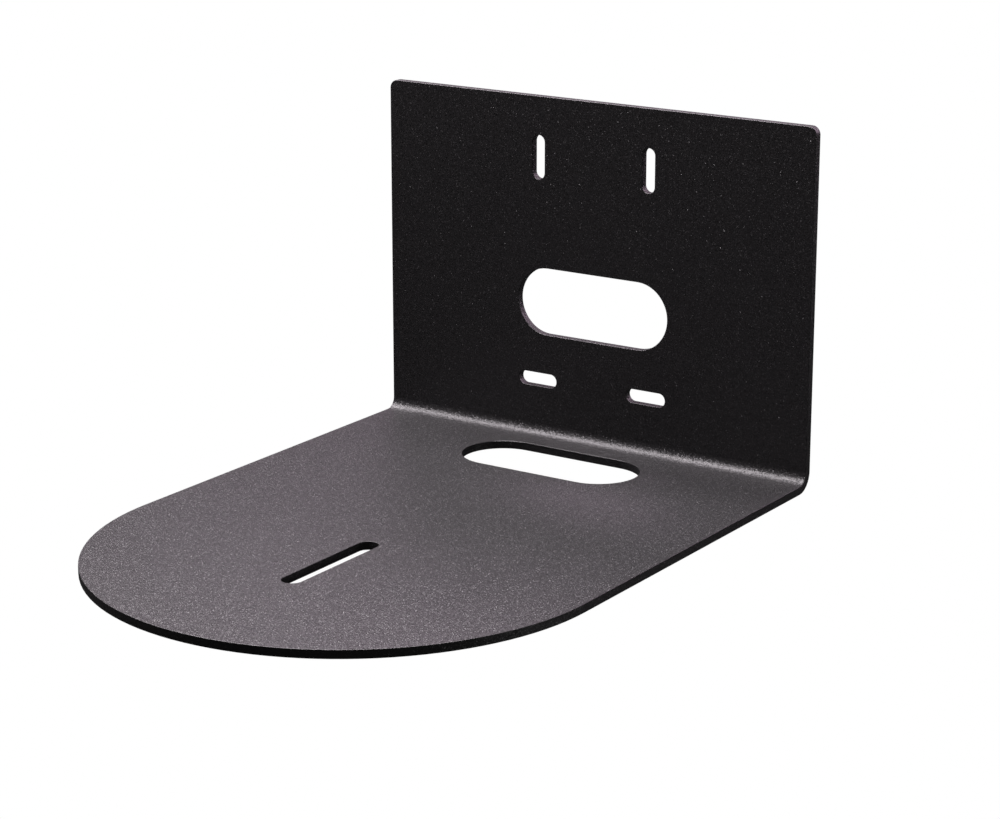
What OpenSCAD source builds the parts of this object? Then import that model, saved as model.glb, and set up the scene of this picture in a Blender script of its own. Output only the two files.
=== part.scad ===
/* [Sheet] */
// Thickness of the steel sheet, with its powder coat
sheet_t = 3; // [2:0.1:4]
// Radius inside the bend
bend_inner_r = 4; // [2:0.5:8]
// Radius to which every cut edge is rounded
edge_r = 0.2; // [0.1:0.05:0.6]

/* [Wall plate] */
// Width of the wall plate and of the shelf
plate_w = 177; // [140:1:220]
// Height of the wall plate's top edge above the middle of the upper slots
plate_margin_z = 22.2; // [14:0.2:60]
// Radius of the wall plate's two top corners
corner_r = 3; // [2:0.5:12]

/* [Shelf] */
// Reach of the shelf's round front end from the wall plate's front face
shelf_reach = 234; // [210:1:280]

/* [Box screw slots] */
// Distance across between the slots, as on a two-gang electrical box
screw_spacing_x = 46; // [40:0.5:60]
// Height of the upper slots above the lower ones, as on a two-gang electrical box
screw_spacing_z = 83; // [79:0.5:86]
// Height of the lower slots above the shelf's top face
lower_slot_z = 20.8; // [18:0.2:23]
// Width of a screw slot
screw_slot_w = 5.1; // [4:0.1:6.5]
// Length of a screw slot from end to end
screw_slot_l = 16.2; // [11:0.2:20]

/* [Cable openings] */
// Length of the wall plate's opening from end to end
wall_opening_l = 63; // [45:1:90]
// Height of the wall plate's opening
wall_opening_w = 25; // [18:0.5:28]
// Height of that opening's middle above the shelf's top face
wall_opening_z = 50.6; // [46:0.2:54]
// Length of the shelf's opening from end to end
shelf_opening_l = 70; // [50:1:100]
// Width of the shelf's opening from front to back
shelf_opening_w = 30; // [20:0.5:34]
// Reach of that opening's middle from the wall plate's front face
shelf_opening_reach = 27.3; // [24:0.1:40]

/* [Camera screw slot] */
// Width of the slot, for a quarter-inch screw
camera_slot_w = 7.1; // [6.5:0.1:9]
// Length of the slot from end to end
camera_slot_l = 47.4; // [20:0.2:70]
// Reach of the slot's middle from the wall plate's front face
camera_slot_reach = 157.7; // [120:0.2:170]

/* [Hidden] */
$fn = 96;
// How far a cutter stands past the faces of the sheet
past = 1;
// The wall plate's back face lies at y = 0, and its front face here
front_y = -sheet_t;
// The origin lies on that back face, midway between the lower screw slots
shelf_top_z = -lower_slot_z;
plate_top_z = screw_spacing_z + plate_margin_z;
// Axis of the bend
bend_y = front_y - bend_inner_r;
bend_z = shelf_top_z + bend_inner_r;
// Centre of the shelf's round front end
nose_r = plate_w / 2;
nose_y = front_y - shelf_reach + nose_r;

// Half a section of the sheet, from its middle at x = 0 to a round edge at x = reach
module half_section(reach) {
    translate([0, -sheet_t / 2])
        square([reach - edge_r, sheet_t]);
    translate([0, edge_r - sheet_t / 2])
        square([reach, sheet_t - 2 * edge_r]);
    for (side = [-1, 1])
        translate([reach - edge_r, side * (sheet_t / 2 - edge_r)])
            circle(edge_r);
}

// Section right across the sheet, round at both edges
module full_section() {
    half_section(plate_w / 2);
    mirror([1, 0])
        half_section(plate_w / 2);
}

// Half the section of a hole's cutter, which flares to leave the hole's rims round
module hole_section(r) {
    difference() {
        translate([0, -sheet_t / 2 - past])
            square([r + edge_r, sheet_t + 2 * past]);
        translate([r, edge_r - sheet_t / 2])
            square([edge_r + past, sheet_t - 2 * edge_r]);
        for (side = [-1, 1])
            translate([r + edge_r, side * (sheet_t / 2 - edge_r)])
                circle(edge_r);
    }
}

// Cutter of a slot with round ends, long in x, in a sheet whose middle is at z = 0
module slot_cutter(length, width) {
    run = length - width;
    for (side = [0, 180])
        rotate([0, 0, side])
            translate([run / 2, 0, 0])
                rotate([0, 0, -90])
                    rotate_extrude(angle = 180)
                        hole_section(width / 2);
    rotate([90, 0, 90])
        linear_extrude(run, center = true) {
            hole_section(width / 2);
            mirror([1, 0])
                hole_section(width / 2);
        }
}

// Flat of the shelf, with the half-round front end
module shelf_blank() {
    translate([0, nose_y, shelf_top_z - sheet_t / 2]) {
        rotate([-90, 0, 0])
            linear_extrude(bend_y - nose_y)
                full_section();
        rotate([0, 0, 180])
            rotate_extrude(angle = 180)
                half_section(nose_r);
    }
}

// Quarter turn of the sheet between the shelf and the wall plate
module bend_blank() {
    translate([0, bend_y, bend_z])
        rotate([0, 90, 0])
            rotate_extrude(angle = 90)
                translate([bend_inner_r + sheet_t / 2, 0])
                    rotate(90)
                        full_section();
}

// Flat of the wall plate, with its two round top corners
module wall_blank() {
    corner_z = plate_top_z - corner_r;
    translate([0, front_y / 2, bend_z])
        linear_extrude(corner_z - bend_z)
            full_section();
    translate([0, front_y / 2, corner_z])
        rotate([0, -90, 0])
            linear_extrude(plate_w - 2 * corner_r, center = true)
                half_section(corner_r);
    for (side = [0, 1])
        mirror([side, 0, 0])
            translate([plate_w / 2 - corner_r, front_y / 2, corner_z])
                rotate([90, 0, 0])
                    rotate_extrude(angle = 90)
                        half_section(corner_r);
}

// Puts a cutter through the wall plate, at a height above the shelf
module through_wall(x, height) {
    translate([x, front_y / 2, shelf_top_z + height])
        rotate([90, 0, 0])
            children();
}

// Puts a cutter through the shelf, on its middle line
module through_shelf(reach) {
    translate([0, front_y - reach, shelf_top_z - sheet_t / 2])
        children();
}

// Wall plate's holes: upright slots above, level slots below, and the cable opening
module wall_cutters() {
    for (side = [-1, 1]) {
        through_wall(side * screw_spacing_x / 2, lower_slot_z + screw_spacing_z)
            rotate([0, 0, 90])
                slot_cutter(screw_slot_l, screw_slot_w);
        through_wall(side * screw_spacing_x / 2, lower_slot_z)
            slot_cutter(screw_slot_l, screw_slot_w);
    }
    through_wall(0, wall_opening_z)
        slot_cutter(wall_opening_l, wall_opening_w);
}

// Shelf's holes: the cable opening by the bend, and the camera screw's slot
module shelf_cutters() {
    through_shelf(shelf_opening_reach)
        slot_cutter(shelf_opening_l, shelf_opening_w);
    through_shelf(camera_slot_reach)
        rotate([0, 0, 90])
            slot_cutter(camera_slot_l, camera_slot_w);
}

// The bracket, folded from one sheet
module bracket() {
    color("#1d1c1e")
        difference() {
            union() {
                shelf_blank();
                bend_blank();
                wall_blank();
            }
            wall_cutters();
            shelf_cutters();
        }
}

bracket();
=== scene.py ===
import math

import bpy
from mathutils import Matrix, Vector


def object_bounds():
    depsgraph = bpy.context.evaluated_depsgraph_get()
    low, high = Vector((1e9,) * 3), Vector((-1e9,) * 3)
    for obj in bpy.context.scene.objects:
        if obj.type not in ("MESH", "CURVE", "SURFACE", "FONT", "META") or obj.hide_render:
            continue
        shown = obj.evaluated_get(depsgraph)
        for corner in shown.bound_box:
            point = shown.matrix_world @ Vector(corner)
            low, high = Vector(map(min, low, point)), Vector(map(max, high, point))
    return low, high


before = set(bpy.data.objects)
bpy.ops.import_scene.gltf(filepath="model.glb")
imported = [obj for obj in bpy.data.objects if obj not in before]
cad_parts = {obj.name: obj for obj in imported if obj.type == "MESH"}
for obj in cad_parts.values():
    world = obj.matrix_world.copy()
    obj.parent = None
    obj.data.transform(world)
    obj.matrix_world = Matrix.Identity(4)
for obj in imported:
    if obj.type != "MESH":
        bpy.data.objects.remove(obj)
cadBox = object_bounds()
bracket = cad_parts["bracket"]
mmPerMetre = 1000  # the frame and the studio are in metres, and the fine detail is in millimetres
print("frame loaded: the bracket measures",
      [round(mmPerMetre * side, 1) for side in cadBox[1] - cadBox[0]], "mm")


def hexToLinear(hexColour):
    # a channel c from 0 to 1 becomes c / 12.92 up to 0.04045, and ((c + 0.055) / 1.055) ** 2.4 above it
    channels = [int(hexColour[i:i + 2], 16) / 255 for i in (1, 3, 5)]
    linear = [c / 12.92 if c <= 0.04045 else ((c + 0.055) / 1.055) ** 2.4 for c in channels]
    return (*linear, 1.0)


def addNode(tree, kind, settings=None, links=None):
    # settings are the node's properties and input values, links bring other nodes' outputs to its inputs
    node = tree.nodes.new(kind)
    for name, value in (settings or {}).items():
        if isinstance(name, int) or name in node.inputs:
            node.inputs[name].default_value = value
        else:
            setattr(node, name, value)
    for name, source in (links or {}).items():
        tree.links.new(source, node.inputs[name])
    return node


# black polyester powder coat, sprayed on the folded steel and baked: a near-black, half-matt skin whose
# soft sheen is broken up by sandy grains, a few of which stand on edge and glint where the rest is dark
coat = {
    "colour": "#191819",
    "roughness": 0.41,
    "ior": 1.5,
    "peelMm": 1.1,  # width of a wave in the skin, where the melted powder flowed together
    "peelHeightMm": 0.05,
    "peelDetail": 1.0,  # how many finer waves ride on each wave
    "grainMm": 0.23,  # real grains are about 0.1 mm, which is too fine to show, so these are coarser
    "grainSlope": 0.27,
    "edgeGrainSlope": 0.165,  # added to the few grains that stand on edge
}


def powderCoat(look):
    material = bpy.data.materials.new("blackPolyesterPowderCoat")
    material.use_nodes = True
    tree = material.node_tree
    tree.nodes.clear()
    place = addNode(tree, "ShaderNodeTexCoord").outputs["Object"]
    peel = addNode(tree, "ShaderNodeTexNoise",
                   {"Scale": mmPerMetre / look["peelMm"], "Detail": look["peelDetail"]},
                   {"Vector": place})
    skin = addNode(tree, "ShaderNodeBump", {"Distance": look["peelHeightMm"] / mmPerMetre},
                   {"Height": peel.outputs["Fac"]})
    # every cell is one grain, and its chance colour, from 0 to 1, becomes its lean, from -1 to 1 on each axis
    cells = addNode(tree, "ShaderNodeTexVoronoi", {"Scale": mmPerMetre / look["grainMm"]},
                    {"Vector": place})
    lean = addNode(tree, "ShaderNodeVectorMath",
                   {"operation": "MULTIPLY_ADD", 1: (2, 2, 2), 2: (-1, -1, -1)},
                   {0: cells.outputs["Color"]})
    # the lean's cube keeps most grains nearly flat, and its ninth power picks out those that stand on edge
    powers = {1: lean}
    for power, one, other in ((2, 1, 1), (3, 2, 1), (6, 3, 3), (9, 6, 3)):
        powers[power] = addNode(tree, "ShaderNodeVectorMath", {"operation": "MULTIPLY"},
                                {0: powers[one].outputs[0], 1: powers[other].outputs[0]})
    grains = addNode(tree, "ShaderNodeVectorMath",
                     {"operation": "MULTIPLY_ADD", 1: [look["grainSlope"]] * 3},
                     {0: powers[3].outputs[0], 2: skin.outputs["Normal"]})
    glints = addNode(tree, "ShaderNodeVectorMath",
                     {"operation": "MULTIPLY_ADD", 1: [look["edgeGrainSlope"]] * 3},
                     {0: powers[9].outputs[0], 2: grains.outputs[0]})
    normal = addNode(tree, "ShaderNodeVectorMath", {"operation": "NORMALIZE"}, {0: glints.outputs[0]})
    shader = addNode(tree, "ShaderNodeBsdfPrincipled", {
        "Base Color": hexToLinear(look["colour"]),
        "Roughness": look["roughness"],
        "IOR": look["ior"],
    }, {"Normal": normal.outputs[0]})
    addNode(tree, "ShaderNodeOutputMaterial", None, {"Surface": shader.outputs["BSDF"]})
    return material


bracket.material_slots[0].material = powderCoat(coat)
print("powder coat on the bracket")

paper = {
    "colour": "#ffffff",
    "glow": 1.0,  # the photograph's white is burnt out, so the paper shines by itself
    "below": 0.3,  # metres under the shelf, so that the bracket seems to hang free as it does there
    "size": 30.0,  # metres across, which carries it far past the view
}


def layPaper(look):
    half = look["size"] / 2
    z = cadBox[0].z - look["below"]
    mesh = bpy.data.meshes.new("paper")
    corners = [(-half, -half, z), (half, -half, z), (half, half, z), (-half, half, z)]
    mesh.from_pydata(corners, [], [(0, 1, 2, 3)])
    floor = bpy.data.objects.new("paper", mesh)
    bpy.context.scene.collection.objects.link(floor)
    material = bpy.data.materials.new("whitePaper")
    material.use_nodes = True
    tree = material.node_tree
    tree.nodes.clear()
    glow = addNode(tree, "ShaderNodeEmission",
                   {"Color": hexToLinear(look["colour"]), "Strength": look["glow"]})
    addNode(tree, "ShaderNodeOutputMaterial", None, {"Surface": glow.outputs["Emission"]})
    mesh.materials.append(material)
    floor.visible_glossy = False  # the bracket is lit by the lamps and the air alone
    floor.visible_diffuse = False


layPaper(paper)
print("paper laid")

air = {
    "backColour": "#ffffff",  # what the camera sees above the paper
    "fillColour": "#f4f2f4",  # what the bracket is lit by on every side
    "fill": 0.05,
}


def fillAir(look):
    world = bpy.data.worlds.new("studioAir")
    world.use_nodes = True
    tree = world.node_tree
    tree.nodes.clear()
    ray = addNode(tree, "ShaderNodeLightPath")
    fill = addNode(tree, "ShaderNodeBackground",
                   {"Color": hexToLinear(look["fillColour"]), "Strength": look["fill"]})
    back = addNode(tree, "ShaderNodeBackground", {"Color": hexToLinear(look["backColour"])})
    both = addNode(tree, "ShaderNodeMixShader", None,
                   {0: ray.outputs["Is Camera Ray"], 1: fill.outputs[0], 2: back.outputs[0]})
    addNode(tree, "ShaderNodeOutputWorld", None, {"Surface": both.outputs[0]})
    bpy.context.scene.world = world


fillAir(air)
print("air filled")

# a large softbox hangs over the left of the bracket and draws the bright line along the bend, two panels
# stand behind it and light the shelf and the bottoms of the holes, and a small one at the right picks out
# the edges; places, aims and sizes are in metres
lamps = {
    "softbox": {"place": (-0.37, -0.08, 0.8), "aim": (-0.37, -0.08, 0), "size": (0.9, 0.6),
                "watts": 36, "colour": "#fff7fc"},
    "leftPanel": {"place": (-0.5, 1.0, 0.95), "aim": (-0.1, -0.15, 0), "size": (0.9, 0.5),
                  "watts": 4, "colour": "#ffe2fa"},
    "rightPanel": {"place": (0.4, 1.1, 0.55), "aim": (0, -0.1, 0), "size": (0.8, 0.6),
                   "watts": 6, "colour": "#ffe2fa"},
    "edgePanel": {"place": (1.2, 0.3, 0.1), "aim": (0, -0.05, 0.03), "size": (0.6, 0.5),
                  "watts": 2.5, "colour": "#ffffff"},
}


def hangLamp(name, lamp):
    data = bpy.data.lights.new(name, "AREA")
    data.shape = "RECTANGLE"
    data.size, data.size_y = lamp["size"]
    data.energy = lamp["watts"]
    data.color = hexToLinear(lamp["colour"])[:3]
    holder = bpy.data.objects.new(name, data)
    bpy.context.scene.collection.objects.link(holder)
    ahead = Vector(lamp["aim"]) - Vector(lamp["place"])
    holder.location = lamp["place"]
    holder.rotation_euler = ahead.to_track_quat("-Z", "Y").to_euler()
    holder.visible_camera = False


for name, lamp in lamps.items():
    hangLamp(name, lamp)
print("studio lit by", len(lamps), "lamps")

# the photograph was taken from the right and a little above, at about a metre: these values put the
# bracket's edges where the photograph has them
view = {
    "place": (0.51458, -0.83638, 0.27541),
    "azimuth": 33.626,  # degrees round from the front, towards the right
    "elevation": 16.142,
    "lensMm": 100.55,
    "sensorMm": 36,
    "nearest": 0.01,  # metres from the camera at which things start to show
}


def setCamera(look):
    data = bpy.data.cameras.new("camera")
    data.sensor_width = look["sensorMm"]
    data.lens = look["lensMm"]
    data.clip_start = look["nearest"]
    camera = bpy.data.objects.new("camera", data)
    bpy.context.scene.collection.objects.link(camera)
    turn, up = math.radians(look["azimuth"]), math.radians(look["elevation"])
    ahead = Vector((-math.sin(turn) * math.cos(up), math.cos(turn) * math.cos(up), -math.sin(up)))
    camera.location = look["place"]
    camera.rotation_euler = ahead.to_track_quat("-Z", "Y").to_euler()
    bpy.context.scene.camera = camera


setCamera(view)
bpy.context.scene.view_settings.view_transform = "Standard"  # keeps the white paper white
print("camera set")
